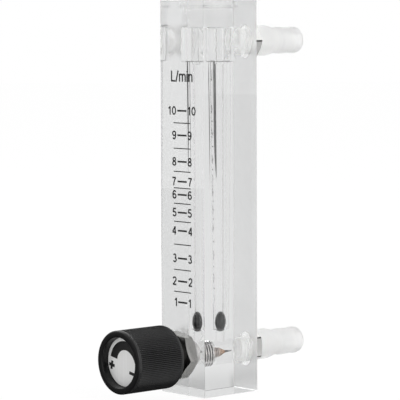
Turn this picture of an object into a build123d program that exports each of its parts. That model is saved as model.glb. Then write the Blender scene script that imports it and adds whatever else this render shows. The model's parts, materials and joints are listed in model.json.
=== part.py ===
from build123d import *
import math
import os

os.makedirs("parts", exist_ok=True)

# Panel gas flow meter in millimetres. The origin is the centre of the block's bottom face,
# +Z is up, the scale faces -Y and the hose barbs point to +Y.

# Acrylic block
block_width = 19.5
block_depth = 22.0
block_height = 120.0
block_edge = 0.3

# Port lines: the inlet above the bottom face, the outlet below the top face
inlet_height = 12.5
outlet_drop = 12.5

# Float and tapered flow tube
float_radius = 3.0
float_side_gap = 0.15
float_seat_gap = 0.05
tube_offset = 0.5
tube_taper = 1.05
tube_end_drop = 6.1
seat_rise = 7.05
seat_hole_radius = 2.0
chamber_radius = 6.0

# Top plug
plug_recess_depth = 2.5
plug_seal_section = 1.0
plug_head_gap = 0.2
plug_thread_length = 5.9
plug_nose_radius = 2.5
plug_nose_reach = 0.8
plug_slot_width = 1.2
plug_slot_depth = 0.7

# Threads and O-rings
thread_clearance = 0.05
nut_clearance = 0.1
port_thread_radius = 4.0
seal_section = 1.16
seal_clearance = 0.02
seal_corner = 0.3
seal_pocket_radius = 5.2

# Needle valve pocket in the block
valve_thread_length = 6.7
valve_pocket_depth = 7.2
valve_chamber_radius = 3.8
orifice_radius = 0.9
orifice_length = 1.65
hose_port_depth = 3.8

# Valve body
hex_flat_radius = 6.5
hex_thickness = 4.0
hex_turn = -9.7
neck_radius = 4.5
neck_length = 2.6
gland_radius = 3.5
stem_tap_radius = 3.025

# Stem and needle
stem_pitch = 0.75
closing_turns = 1.5
opening_turns = 3.0
stem_radius = 2.5
land_length = 2.4
land_clearance = 0.05
gland_margin = 0.05
groove_radius = 2.35
groove_width = 1.3
stem_seal_section = 1.1
needle_cone_length = 3.4
needle_neck_radius = 0.6
needle_tip_radius = 0.3
needle_tip_length = 2.8
seat_gap = 0.05

# Knob
knob_radius = 9.6
knob_length = 18.0
knob_running_gap = 0.275
knob_edge = 0.5
knob_band = 0.7
flute_count = 100
flute_depth = 0.25
flute_end = 0.8
knob_wall = 1.6
knob_hollow_depth = 9.5
hub_radius = 4.5
hub_setback = 0.4
hub_clearance = 0.05
hub_depth = 9.0
rib_count = 4
rib_thickness = 1.2
disc_recess_radius = 7.55
disc_recess_depth = 2.4
disc_thickness = 0.8
disc_gap = 0.1

# Knob screw
screw_radius = 1.5
screw_clearance = 0.05
screw_hole_clearance = 0.2
screw_grip = 5.0
screw_tap_depth = 6.0
screw_head_radius = 2.75
screw_head_height = 2.0
screw_socket_radius = 1.25
screw_socket_depth = 1.1
screw_pocket_gap = 0.75
screw_pocket_depth = 2.6

# Rear fittings, nuts and washers
fitting_bore_radius = 2.25
fitting_end_gap = 0.3
washer_radius = 6.5
washer_thickness = 1.5
nut_flat_radius = 5.2
nut_thickness = 5.0
nut_collar_gap = 0.2
collar_radius = 4.7
collar_length = 5.7
collar_taper = 2.9
hose_radius = 3.95
barb_height = 0.2
barb_land = 1.0
barb_pitch = 6.0
barb_count = 2
barb_lead = 3.0
barb_end = 1.7
lead_in = 0.4

# Printed scale: rises of the ten whole litres above the float seat, half litres lie midway
tick_rises = [8.75, 15.2, 22.2, 30.65, 36.2, 41.65, 45.65, 51.7, 59.7, 67.15]
whole_tick_length = 4.1
half_tick_length = 7.6
whole_tick_width = 0.55
half_tick_width = 0.3
ink_thickness = 0.06

# Places that follow from the sizes above
front_face = -block_depth / 2
back_face = block_depth / 2
outlet_height = block_height - outlet_drop
seat_height = inlet_height + seat_rise
tube_end = outlet_height - tube_end_drop
tube_bottom_radius = float_radius + float_side_gap
tube_top_radius = tube_bottom_radius + tube_taper
recess_floor = block_height - plug_recess_depth
plug_seal_space = plug_seal_section + 2 * seal_clearance
plug_recess_radius = chamber_radius + plug_seal_space
plug_shoulder = recess_floor + plug_seal_space
port_end = back_face - hose_port_depth
valve_seat = port_end - orifice_length
seal_middle_radius = seal_pocket_radius - seal_clearance - seal_section / 2
seal_pocket_depth = seal_section + 2 * seal_clearance
closing_travel = closing_turns * stem_pitch
opening_travel = opening_turns * stem_pitch
hex_front = front_face - hex_thickness
neck_face = hex_front - neck_length
land_front = neck_face + opening_travel + gland_margin
land_back = land_front + land_length
gland_end = land_back + closing_travel + gland_margin
stem_thread_radius = stem_tap_radius - thread_clearance
groove_middle = (land_front + land_back) / 2
cone_slope = (stem_thread_radius - needle_neck_radius) / needle_cone_length
cone_end = valve_seat + (orifice_radius - needle_neck_radius) / cone_slope - closing_travel - seat_gap
cone_start = cone_end - needle_cone_length
knob_back = neck_face - closing_travel - knob_running_gap
knob_front = knob_back - knob_length
stem_end = knob_back - hub_depth
disc_face = knob_front + disc_recess_depth
disc_seat = disc_face + disc_thickness
pocket_floor = disc_seat + screw_pocket_depth
nut_start = back_face + washer_thickness
nut_end = nut_start + nut_thickness
collar_start = nut_end + nut_collar_gap
collar_end = collar_start + collar_length
barb_start = collar_end + collar_taper


# Planes and axes of the two port lines
def port_plane(height):
    return Plane((0, 0, height), x_dir=(0, 1, 0), z_dir=(1, 0, 0))


def port_axis(height):
    return Axis((0, 0, height), (0, 1, 0))


def cross_plane(y, height):
    return Plane((0, y, height), x_dir=(1, 0, 0), z_dir=(0, -1, 0))


# Half section of a piece turned about a port line, from (y, radius) points
def turned_section(height, points):
    with BuildSketch(port_plane(height)) as section:
        with BuildLine():
            Polyline(*points, close=True)
        make_face()
    return section.sketch


# Section of an O-ring, squeezed flat where its groove's floor and walls press on it
def ring_section(plane, along, ring_radius, width):
    with BuildSketch(plane) as section:
        with Locations((along, ring_radius)):
            Rectangle(width, width)
        chamfer(section.vertices(), length=seal_corner)
    return section.sketch


def hexagon(y, height, flat_radius, turn):
    with BuildSketch(cross_plane(y, height)) as outline:
        RegularPolygon(radius=flat_radius, side_count=6, major_radius=False, rotation=turn)
    return outline.sketch


# Half section that takes the corners off both ends of a hexagon at 30 degrees
def hex_turning(height, start, end, flat_radius):
    corner_radius = flat_radius / math.cos(math.radians(30))
    corner_cut = (corner_radius - flat_radius) * math.tan(math.radians(30))
    points = [
        (start, 0),
        (start, flat_radius),
        (start + corner_cut, corner_radius),
        (end - corner_cut, corner_radius),
        (end, flat_radius),
        (end, 0),
    ]
    return turned_section(height, points)


# Acrylic block with the tapered tube, the plug chamber, the valve pocket and both hose ports
with BuildPart() as acrylic_block:
    with BuildSketch(Plane.XY):
        Rectangle(block_width, block_depth)
    extrude(amount=block_height)
    chamfer(acrylic_block.edges(), length=block_edge)
    with BuildSketch(Plane.XZ.offset(-tube_offset)):
        with BuildLine():
            Polyline(
                (0, inlet_height),
                (seat_hole_radius, inlet_height),
                (seat_hole_radius, seat_height),
                (tube_bottom_radius, seat_height),
                (tube_top_radius, tube_end),
                (chamber_radius, tube_end),
                (chamber_radius, recess_floor),
                (plug_recess_radius, recess_floor),
                (plug_recess_radius, block_height),
                (0, block_height),
                close=True,
            )
        make_face()
    revolve(axis=Axis((0, tube_offset, 0), (0, 0, 1)), mode=Mode.SUBTRACT)
    valve_pocket = [
        (front_face, 0),
        (front_face, seal_pocket_radius),
        (front_face + seal_pocket_depth, seal_pocket_radius),
        (front_face + seal_pocket_depth, port_thread_radius),
        (front_face + valve_pocket_depth, port_thread_radius),
        (front_face + valve_pocket_depth, valve_chamber_radius),
        (valve_seat, valve_chamber_radius),
        (valve_seat, orifice_radius),
        (port_end, orifice_radius),
        (port_end, 0),
    ]
    revolve(turned_section(inlet_height, valve_pocket), axis=port_axis(inlet_height), mode=Mode.SUBTRACT)
    for height, port_bottom in ((inlet_height, port_end), (outlet_height, tube_offset)):
        hose_port = [
            (port_bottom, 0),
            (port_bottom, port_thread_radius),
            (back_face - seal_pocket_depth, port_thread_radius),
            (back_face - seal_pocket_depth, seal_pocket_radius),
            (back_face, seal_pocket_radius),
            (back_face, 0),
        ]
        revolve(turned_section(height, hose_port), axis=port_axis(height), mode=Mode.SUBTRACT)
acrylic_block.part.label = "acrylic_block"
export_step(acrylic_block.part, "parts/acrylic_block.step")

# Threaded plug that closes the tube, its nose stops the float
plug_shank_radius = chamber_radius - thread_clearance
plug_head_radius = plug_recess_radius - plug_head_gap
plug_shank_end = recess_floor - plug_thread_length
with BuildPart() as top_plug:
    with BuildSketch(Plane.XZ.offset(-tube_offset)):
        with BuildLine():
            Polyline(
                (0, tube_end - plug_nose_reach),
                (plug_nose_radius - lead_in, tube_end - plug_nose_reach),
                (plug_nose_radius, tube_end - plug_nose_reach + lead_in),
                (plug_nose_radius, plug_shank_end),
                (plug_shank_radius - lead_in, plug_shank_end),
                (plug_shank_radius, plug_shank_end + lead_in),
                (plug_shank_radius, plug_shoulder),
                (plug_head_radius, plug_shoulder),
                (plug_head_radius, block_height - block_edge),
                (plug_head_radius - block_edge, block_height),
                (0, block_height),
                close=True,
            )
        make_face()
    revolve(axis=Axis((0, tube_offset, 0), (0, 0, 1)))
    with BuildSketch(Plane((0, tube_offset, block_height))):
        Rectangle(2 * plug_head_radius, plug_slot_width)
    extrude(amount=-plug_slot_depth, mode=Mode.SUBTRACT)
top_plug.part.label = "top_plug"
export_step(top_plug.part, "parts/top_plug.step")

with BuildPart() as top_plug_seal:
    plug_ring = ring_section(
        Plane.XZ.offset(-tube_offset),
        chamber_radius + plug_seal_space / 2,
        recess_floor + plug_seal_space / 2,
        plug_seal_section,
    )
    revolve(plug_ring, axis=Axis((0, tube_offset, 0), (0, 0, 1)))
top_plug_seal.part.label = "top_plug_seal"
export_step(top_plug_seal.part, "parts/top_plug_seal.step")

# Ball float, at rest just above the edge of its seat hole
float_rise = math.sqrt((float_radius + float_seat_gap) ** 2 - seat_hole_radius ** 2)
with BuildPart() as float_ball:
    with Locations((0, tube_offset, seat_height + float_rise)):
        Sphere(float_radius)
float_ball.part.label = "float_ball"
export_step(float_ball.part, "parts/float_ball.step")

# Valve body: hexagon, neck with the stem's gland, and shank with the stem's tapped bore
shank_radius = port_thread_radius - thread_clearance
shank_end = front_face + valve_thread_length
with BuildPart() as valve_body:
    extrude(hexagon(front_face, inlet_height, hex_flat_radius, hex_turn), amount=hex_thickness)
    revolve(
        hex_turning(inlet_height, hex_front, front_face, hex_flat_radius),
        axis=port_axis(inlet_height),
        mode=Mode.INTERSECT,
    )
    neck_and_shank = [
        (neck_face, 0),
        (neck_face, neck_radius - lead_in),
        (neck_face + lead_in, neck_radius),
        (hex_front + lead_in, neck_radius),
        (hex_front + lead_in, shank_radius),
        (shank_end - lead_in, shank_radius),
        (shank_end, shank_radius - lead_in),
        (shank_end, 0),
    ]
    revolve(turned_section(inlet_height, neck_and_shank), axis=port_axis(inlet_height))
    stem_bore = [
        (neck_face, 0),
        (neck_face, gland_radius),
        (gland_end, gland_radius),
        (gland_end, stem_tap_radius),
        (shank_end, stem_tap_radius),
        (shank_end, 0),
    ]
    revolve(turned_section(inlet_height, stem_bore), axis=port_axis(inlet_height), mode=Mode.SUBTRACT)
valve_body.part.label = "valve_body"
export_step(valve_body.part, "parts/valve_body.step")

with BuildPart() as valve_body_seal:
    valve_ring = ring_section(
        port_plane(inlet_height), front_face + seal_pocket_depth / 2, seal_middle_radius, seal_section
    )
    revolve(valve_ring, axis=port_axis(inlet_height))
valve_body_seal.part.label = "valve_body_seal"
export_step(valve_body_seal.part, "parts/valve_body_seal.step")

# Stem with its ring land, screw thread and needle, tapped for the knob screw at the outer end
land_radius = gland_radius - land_clearance
with BuildPart() as needle_stem:
    stem_outline = [
        (stem_end, 0),
        (stem_end, stem_radius - lead_in),
        (stem_end + lead_in, stem_radius),
        (land_front, stem_radius),
        (land_front, land_radius),
        (groove_middle - groove_width / 2, land_radius),
        (groove_middle - groove_width / 2, groove_radius),
        (groove_middle + groove_width / 2, groove_radius),
        (groove_middle + groove_width / 2, land_radius),
        (land_back, land_radius),
        (land_back, stem_radius),
        (front_face, stem_radius),
        (front_face, stem_thread_radius),
        (cone_start, stem_thread_radius),
        (cone_end, needle_neck_radius),
        (cone_end + needle_tip_length, needle_tip_radius),
        (cone_end + needle_tip_length, 0),
    ]
    revolve(turned_section(inlet_height, stem_outline), axis=port_axis(inlet_height))
    screw_tap = [
        (stem_end, 0),
        (stem_end, screw_radius),
        (stem_end + screw_tap_depth, screw_radius),
        (stem_end + screw_tap_depth, 0),
    ]
    revolve(turned_section(inlet_height, screw_tap), axis=port_axis(inlet_height), mode=Mode.SUBTRACT)
needle_stem.part.label = "needle_stem"
export_step(needle_stem.part, "parts/needle_stem.step")

# O-ring in the stem's groove, it slides in the gland with the stem
stem_ring_radius = (groove_radius + gland_radius) / 2
with BuildPart() as stem_seal_ring:
    stem_ring = ring_section(
        port_plane(inlet_height), groove_middle, stem_ring_radius, stem_seal_section
    )
    revolve(stem_ring, axis=port_axis(inlet_height))
stem_seal_ring.part.label = "stem_seal_ring"
export_step(stem_seal_ring.part, "parts/stem_seal_ring.step")

# Fluted knob: recess for the disc, pocket for the screw, hollow back with a ribbed hub
knob_inner_radius = knob_radius - knob_wall
hollow_floor = knob_back - knob_hollow_depth
rib_middle = (hub_radius + knob_inner_radius) / 2
rib_reach = knob_inner_radius - hub_radius + 2 * hub_setback
with BuildPart() as knob:
    knob_outline = [
        (knob_front, knob_radius - knob_edge),
        (knob_front + 0.134 * knob_edge, knob_radius - 0.5 * knob_edge),
        (knob_front + 0.5 * knob_edge, knob_radius - 0.134 * knob_edge),
        (knob_front + knob_edge, knob_radius),
        (knob_back - lead_in, knob_radius),
        (knob_back, knob_radius - lead_in),
        (knob_back, knob_inner_radius),
        (hollow_floor, knob_inner_radius),
        (hollow_floor, hub_radius),
        (knob_back - hub_setback, hub_radius),
        (knob_back - hub_setback, stem_radius + hub_clearance),
        (stem_end, stem_radius + hub_clearance),
        (stem_end, screw_radius + screw_hole_clearance),
        (pocket_floor, screw_radius + screw_hole_clearance),
        (pocket_floor, screw_head_radius + screw_pocket_gap),
        (disc_seat, screw_head_radius + screw_pocket_gap),
        (disc_seat, disc_recess_radius),
        (knob_front, disc_recess_radius),
    ]
    revolve(turned_section(inlet_height, knob_outline), axis=port_axis(inlet_height))
    with BuildSketch(cross_plane(hollow_floor, inlet_height)):
        with PolarLocations(rib_middle, rib_count):
            Rectangle(rib_reach, rib_thickness)
    extrude(amount=-(knob_hollow_depth - 2 * hub_setback))
    flute_start = knob_front + knob_edge + knob_band
    with BuildSketch(cross_plane(knob_back - flute_end, inlet_height)):
        with PolarLocations(knob_radius, flute_count):
            RegularPolygon(radius=flute_depth, side_count=4)
    extrude(amount=knob_back - flute_end - flute_start, mode=Mode.SUBTRACT)
knob.part.label = "knob"
export_step(knob.part, "parts/knob.step")

with BuildPart() as knob_disc:
    with BuildSketch(cross_plane(disc_seat, inlet_height)):
        Circle(disc_recess_radius - disc_gap)
    extrude(amount=disc_thickness)
knob_disc.part.label = "knob_disc"
export_step(knob_disc.part, "parts/knob_disc.step")

# Socket screw that holds the knob on the stem
with BuildPart() as knob_screw:
    screw_outline = [
        (pocket_floor - screw_head_height, 0),
        (pocket_floor - screw_head_height, screw_head_radius),
        (pocket_floor, screw_head_radius),
        (pocket_floor, screw_radius - screw_clearance),
        (stem_end + screw_grip, screw_radius - screw_clearance),
        (stem_end + screw_grip, 0),
    ]
    revolve(turned_section(inlet_height, screw_outline), axis=port_axis(inlet_height))
    extrude(
        hexagon(pocket_floor - screw_head_height, inlet_height, screw_socket_radius, 0),
        amount=-screw_socket_depth,
        mode=Mode.SUBTRACT,
    )
knob_screw.part.label = "knob_screw"
export_step(knob_screw.part, "parts/knob_screw.step")

# Rear side: each port has a barbed fitting with its O-ring, washer and nut
crest_radius = hose_radius + barb_height
for port, height, nut_turn in (("outlet", outlet_height, 0), ("inlet", inlet_height, 30)):
    fitting_start = port_end + fitting_end_gap
    barb_outline = [
        (fitting_start, fitting_bore_radius),
        (fitting_start, shank_radius - lead_in),
        (fitting_start + lead_in, shank_radius),
        (collar_start, shank_radius),
        (collar_start, collar_radius - lead_in / 2),
        (collar_start + lead_in / 2, collar_radius),
        (collar_end, collar_radius),
        (barb_start, hose_radius),
    ]
    for barb in range(barb_count):
        crest = barb_start + barb_lead + barb * barb_pitch
        barb_outline.append((crest - barb_lead / 2, hose_radius))
        barb_outline.append((crest - barb_land / 2, crest_radius))
        barb_outline.append((crest + barb_land / 2, crest_radius))
    barb_tip = barb_start + barb_lead + (barb_count - 1) * barb_pitch + barb_end
    barb_outline.append((barb_tip - lead_in, hose_radius))
    barb_outline.append((barb_tip, hose_radius - lead_in))
    barb_outline.append((barb_tip, fitting_bore_radius))
    with BuildPart() as fitting:
        revolve(turned_section(height, barb_outline), axis=port_axis(height))
    fitting.part.label = port + "_fitting"
    export_step(fitting.part, "parts/" + port + "_fitting.step")

    with BuildPart() as seal:
        port_ring = ring_section(
            port_plane(height), back_face - seal_pocket_depth / 2, seal_middle_radius, seal_section
        )
        revolve(port_ring, axis=port_axis(height))
    seal.part.label = port + "_seal"
    export_step(seal.part, "parts/" + port + "_seal.step")

    with BuildPart() as washer:
        with BuildSketch(cross_plane(nut_start, height)):
            Circle(washer_radius)
            Circle(shank_radius + nut_clearance, mode=Mode.SUBTRACT)
        extrude(amount=washer_thickness)
    washer.part.label = port + "_washer"
    export_step(washer.part, "parts/" + port + "_washer.step")

    with BuildPart() as nut:
        extrude(hexagon(nut_end, height, nut_flat_radius, nut_turn), amount=nut_thickness)
        revolve(
            hex_turning(height, nut_start, nut_end, nut_flat_radius),
            axis=port_axis(height),
            mode=Mode.INTERSECT,
        )
        with BuildSketch(cross_plane(nut_end, height)):
            Circle(shank_radius + nut_clearance)
        extrude(amount=nut_thickness, mode=Mode.SUBTRACT)
    nut.part.label = port + "_nut"
    export_step(nut.part, "parts/" + port + "_nut.step")

# Printed tick marks of the scale on the front face
half_rises = [(low + high) / 2 for low, high in zip(tick_rises, tick_rises[1:])]
with BuildPart() as scale_marks:
    with BuildSketch(cross_plane(front_face, seat_height)):
        with Locations(*[(0, rise) for rise in tick_rises]):
            Rectangle(whole_tick_length, whole_tick_width)
        with Locations(*[(0, rise) for rise in half_rises]):
            Rectangle(half_tick_length, half_tick_width)
    extrude(amount=ink_thickness)
scale_marks.part.label = "scale_marks"
export_step(scale_marks.part, "parts/scale_marks.step")
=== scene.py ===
import json
import math
import bmesh
import bpy
import numpy as np
from mathutils import Matrix, Vector


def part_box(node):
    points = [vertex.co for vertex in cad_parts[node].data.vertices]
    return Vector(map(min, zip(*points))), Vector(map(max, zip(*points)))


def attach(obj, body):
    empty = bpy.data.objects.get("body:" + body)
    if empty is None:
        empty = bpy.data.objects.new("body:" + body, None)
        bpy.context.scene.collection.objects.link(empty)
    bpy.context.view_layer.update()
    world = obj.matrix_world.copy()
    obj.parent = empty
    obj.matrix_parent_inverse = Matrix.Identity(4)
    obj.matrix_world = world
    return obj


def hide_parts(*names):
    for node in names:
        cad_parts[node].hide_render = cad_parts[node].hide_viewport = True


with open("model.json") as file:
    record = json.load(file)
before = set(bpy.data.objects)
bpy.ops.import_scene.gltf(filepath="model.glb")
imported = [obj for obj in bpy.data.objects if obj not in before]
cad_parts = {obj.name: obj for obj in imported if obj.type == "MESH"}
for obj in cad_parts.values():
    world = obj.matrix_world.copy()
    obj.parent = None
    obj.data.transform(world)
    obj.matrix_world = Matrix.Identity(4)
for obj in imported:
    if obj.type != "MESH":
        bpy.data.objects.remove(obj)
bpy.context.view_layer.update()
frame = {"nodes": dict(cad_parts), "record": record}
mm = 0.001
print("frame loaded")

# Places of the carrying piece and the port lines, in millimetres, read from the frame
blockLow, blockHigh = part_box("acrylic_block")
mountPlace = {mount["name"]: mount["pos_m"] for mount in frame["record"]["mounts"]}
front, back = blockLow.y / mm, blockHigh.y / mm
top, side = blockHigh.z / mm, blockHigh.x / mm
inlet = mountPlace["inlet_hose"][2] / mm
outlet = mountPlace["outlet_hose"][2] / mm
fullTurn = 2 * math.pi


# Shapes: every turned piece is a grid of rows along its axis and columns round it

# A corner list (along, radius, fillet) becomes an outline. Each filleted corner is the circular arc that
# touches both of its sides, written as a weighted quadratic curve between the two tangent points. It takes
# at most 48% of a side
def outline(corners, ring=False, steps=6):
    parts = []
    for i, (along, radius, fillet) in enumerate(corners):
        here = np.array([along, radius], float)
        if fillet == 0:
            parts.append(here[None])
            continue
        before = np.array(corners[i - 1][:2], float) - here
        after = np.array(corners[(i + 1) % len(corners)][:2], float) - here
        room = 0.48 * min(np.linalg.norm(before), np.linalg.norm(after))
        before /= np.linalg.norm(before)
        after /= np.linalg.norm(after)
        halfAngle = math.acos(np.clip(before @ after, -1, 1)) / 2
        reach = min(fillet / math.tan(halfAngle), room)
        t = np.linspace(0, 1, steps + 1)[:, None]
        weights = [(1 - t) ** 2, 2 * math.sin(halfAngle) * t * (1 - t), t ** 2]
        points = [here + before * reach, here, here + after * reach]
        parts.append(sum(weight * point for weight, point in zip(weights, points)) / sum(weights))
    path = np.concatenate(parts)
    return np.concatenate([path, path[:1]]) if ring else path


# Corners whose places are given by the names of a piece's values, or by numbers
def cornersOf(values, named):
    return [(values.get(along, along), values.get(out, out), fillet) for along, out, fillet in named]


# More rows between start and end, so that a thread or a flute has enough of them
def fineRows(path, start, end, step):
    parts = [path[:1]]
    for a, b in zip(path[:-1], path[1:]):
        touched = min(a[0], b[0]) < end and max(a[0], b[0]) > start
        count = max(1, math.ceil(abs(b[0] - a[0]) / step)) if touched else 1
        parts.append(a + (b - a) * np.linspace(0, 1, count + 1)[1:, None])
    return np.concatenate(parts)


# Depth of a right-hand thread: a rounded triangle wave of distance / pitch - angle / full turn,
# faded in over one pitch at both ends, and only where the radius is above the core
def threadDepth(along, radius, angle, thread):
    phase = (along - thread["from"]) / thread["pitch"] - angle / fullTurn
    wave = np.abs(2 * (phase - np.floor(phase)) - 1)
    wave = wave * wave * (3 - 2 * wave)
    fadeIn = np.clip((along - thread["from"]) / thread["pitch"], 0, 1)
    fadeOut = np.clip((thread["to"] - along) / thread["pitch"], 0, 1)
    return thread["depth"] * wave * fadeIn * fadeOut * (radius > thread["core"])


def angles(columns):
    return np.arange(columns)[None, :] * fullTurn / columns


def aboutPort(along, radius, angle, height):
    return np.stack([radius * np.sin(angle), along + 0 * angle, height + radius * np.cos(angle)], -1)


def aboutTube(along, radius, angle, offset):
    return np.stack([radius * np.cos(angle), offset + radius * np.sin(angle), along + 0 * angle], -1)


# Merges the seam and the poles, turns the faces outwards and marks the edges that stay crisp
def tidyMesh(mesh, crisp=32):
    work = bmesh.new()
    work.from_mesh(mesh)
    bmesh.ops.remove_doubles(work, verts=work.verts, dist=1e-6)
    bmesh.ops.dissolve_degenerate(work, edges=work.edges, dist=1e-7)
    bmesh.ops.recalc_face_normals(work, faces=work.faces)
    work.to_mesh(mesh)
    work.free()
    mesh.shade_smooth()
    mesh.set_sharp_from_angle(angle=math.radians(crisp))
    return mesh


# The centres or the normals of a mesh's faces
def faceValues(mesh, name):
    values = np.zeros(len(mesh.polygons) * 3)
    mesh.polygons.foreach_get(name, values)
    return values.reshape(-1, 3)


# Gives every face the material with its number
def setFinishes(mesh, materials, numbers):
    mesh.materials.clear()
    for material in materials:
        mesh.materials.append(material)
    mesh.polygons.foreach_set("material_index", numbers.astype(np.int32))


# A grid of points becomes a closed skin: quads between neighbours, wrapped round the columns,
# with one face over the first and the last row if caps is set
def skin(name, points, caps=False, crisp=32):
    rows, columns = points.shape[:2]
    index = np.arange(rows * columns).reshape(rows, columns)
    low, high = index[:-1], index[1:]
    quads = np.stack([low, np.roll(low, -1, 1), np.roll(high, -1, 1), high], -1).reshape(-1, 4).tolist()
    if caps:
        quads += [index[0].tolist(), index[-1].tolist()]
    mesh = bpy.data.meshes.new(name)
    mesh.from_pydata((points.reshape(-1, 3) * mm).tolist(), [], quads)
    return tidyMesh(mesh, crisp)


# A turned piece about a port line or about the tube
def turned(name, path, at, about=aboutPort, columns=96, thread=None, crisp=32):
    if thread:
        path = fineRows(path, thread["from"], thread["to"], thread["pitch"] / 10)
    along, radius, angle = path[:, :1], path[:, 1:], angles(columns)
    if thread:
        radius = radius - threadDepth(along, radius, angle, thread)
    return skin(name, about(along, radius + 0 * angle, angle, at), crisp=crisp)


# Distance from the axis to a hexagon with softly rounded corners: the flat over the soft maximum
# of the six face directions
def hexReach(angle, flat, turn, softness=70):
    facing = np.cos(angle[..., None] - np.radians(turn + 60 * np.arange(6) + 30))
    return flat / (np.clip(facing, 0, 1) ** softness).sum(-1) ** (1 / softness)


def looseObject(name, data):
    thing = bpy.data.objects.new(name, data)
    bpy.context.collection.objects.link(thing)
    return thing


def addPiece(name, mesh, body, slotName, material, replaced=()):
    piece = looseObject(name, mesh)
    if material:
        mesh.materials.clear()
        mesh.materials.append(material)
    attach(piece, body)
    if replaced:
        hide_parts(*replaced)
    return piece


# Materials: each reads Object coordinates, in metres

# A node with its settings and inputs. A socket is linked to its input, anything else becomes its value
def addNode(tree, kind, inputs=None, **settings):
    node = tree.nodes.new("ShaderNode" + kind)
    for key, value in settings.items():
        setattr(node, key, value)
    for key, value in (inputs or {}).items():
        if isinstance(value, bpy.types.NodeSocket):
            tree.links.new(value, node.inputs[key])
        else:
            node.inputs[key].default_value = value
    return node


def mathSocket(tree, operation, first, second=0):
    return addNode(tree, "Math", {0: first, 1: second}, operation=operation).outputs[0]


def vectorSocket(tree, operation, first, second=(0, 0, 0), output=0):
    return addNode(tree, "VectorMath", {0: first, 1: second}, operation=operation).outputs[output]


def mixColor(tree, share, first, second):
    mix = addNode(tree, "Mix", {"Factor": share, "A": first, "B": second}, data_type="RGBA")
    return mix.outputs["Result"]


def objectPlace(tree):
    return addNode(tree, "TexCoord").outputs["Object"]


# Maps a socket from one range to another, straight or soft at both ends
def ramp(tree, socket, fromRange, toRange, soft=False):
    ends = {"From Min": fromRange[0], "From Max": fromRange[1], "To Min": toRange[0], "To Max": toRange[1]}
    way = "SMOOTHSTEP" if soft else "LINEAR"
    return addNode(tree, "MapRange", {"Value": socket, **ends}, interpolation_type=way).outputs["Result"]


# A ramp over a coordinate of the piece, or over its distance from the port line at the given height
def placeRamp(tree, axis, fromRange, toRange, height=0):
    place = objectPlace(tree)
    if axis == "radius":
        shifted = vectorSocket(tree, "SUBTRACT", place, (0, 0, height * mm))
        across = vectorSocket(tree, "MULTIPLY", shifted, (1, 0, 1))
        along = vectorSocket(tree, "LENGTH", across, output="Value")
    else:
        along = addNode(tree, "SeparateXYZ", {0: place}).outputs[axis]
    return ramp(tree, along, (fromRange[0] * mm, fromRange[1] * mm), toRange)


# A noise over the piece, stretched by the mapping's scale, as a socket
def noiseSocket(tree, scale, stretch=(1, 1, 1), detail=4):
    mapping = addNode(tree, "Mapping", {"Vector": objectPlace(tree), "Scale": stretch})
    inputs = {"Vector": mapping.outputs["Vector"], "Scale": scale, "Detail": detail}
    return addNode(tree, "TexNoise", inputs).outputs["Fac"]


def newMaterial(name, color, roughness, metallic=0.0, ior=1.5):
    material = bpy.data.materials.new(name)
    material.use_nodes = True
    shader = material.node_tree.nodes["Principled BSDF"]
    shader.inputs["Base Color"].default_value = (*color, 1)
    shader.inputs["Roughness"].default_value = roughness
    shader.inputs["Metallic"].default_value = metallic
    shader.inputs["IOR"].default_value = ior
    return material, material.node_tree, shader


# Feeds a socket's 0 to 1 to the shader's colour, its roughness and its bump
def feedColor(tree, shader, socket, dark, light):
    tree.links.new(mixColor(tree, socket, (*dark, 1), (*light, 1)), shader.inputs["Base Color"])


def feedRoughness(tree, shader, socket, roughness):
    tree.links.new(ramp(tree, socket, (0, 1), roughness), shader.inputs["Roughness"])


def feedBump(tree, shader, socket, strength, height):
    bump = addNode(tree, "Bump", {"Height": socket, "Strength": strength, "Distance": height * mm})
    tree.links.new(bump.outputs["Normal"], shader.inputs["Normal"])


# Mixes a further colour into the base colour, by the share that a socket gives
def shade(material, socket, color):
    tree = material.node_tree
    base = tree.nodes["Principled BSDF"].inputs["Base Color"]
    tree.links.new(mixColor(tree, socket, base.links[0].from_socket, (*color, 1)), base)


# Mixes another shader into the surface, by the given share
def mixSurface(tree, shader, other, share):
    mix = addNode(tree, "MixShader", {"Fac": share, 1: shader.outputs["BSDF"], 2: other.outputs[0]})
    tree.links.new(mix.outputs["Shader"], tree.nodes["Material Output"].inputs["Surface"])


# Lets a share of the light pass the surface straight
def passLight(tree, shader, share):
    mixSurface(tree, shader, addNode(tree, "BsdfTransparent"), share)


# Materials with one fine grain. Its bump has a strength and a height in millimetres
looks = {
    "milkyNylon": {
        "dark": (0.9, 0.9, 0.895), "color": (0.95, 0.95, 0.945), "roughness": (0.3, 0.42), "grain": 350,
        "bump": (0.3, 0.01), "ior": 1.53,
    },
    "blackPlastic": {
        "dark": (0.004, 0.004, 0.0043), "color": (0.007, 0.007, 0.0073), "roughness": (0.24, 0.34),
        "grain": 2600, "bump": (0.25, 0.01),
    },
    "silicone": {
        "color": (0.93, 0.93, 0.92), "roughness": (0.22, 0.4), "grain": 700, "bump": (0.2, 0.01),
        "ior": 1.45,
    },
    "rubber": {"color": (0.02, 0.02, 0.02), "roughness": (0.42, 0.6), "grain": 1800, "bump": (0.3, 0.01)},
    "floatBlack": {
        "color": (0.02, 0.02, 0.02), "roughness": (0.12, 0.3), "grain": 900, "bump": (0.1, 0.005),
    },
    "discMetal": {
        "dark": (0.72, 0.72, 0.715), "color": (0.85, 0.85, 0.845), "roughness": (0.3, 0.45), "grain": 1500,
        "stretch": (1, 1, 0.06), "bump": (0.2, 0.004),
    },
    "ink": {
        "dark": (0.004, 0.004, 0.004), "color": (0.012, 0.012, 0.012), "roughness": (0.35, 0.55),
        "grain": 1400,
    },
}


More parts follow.
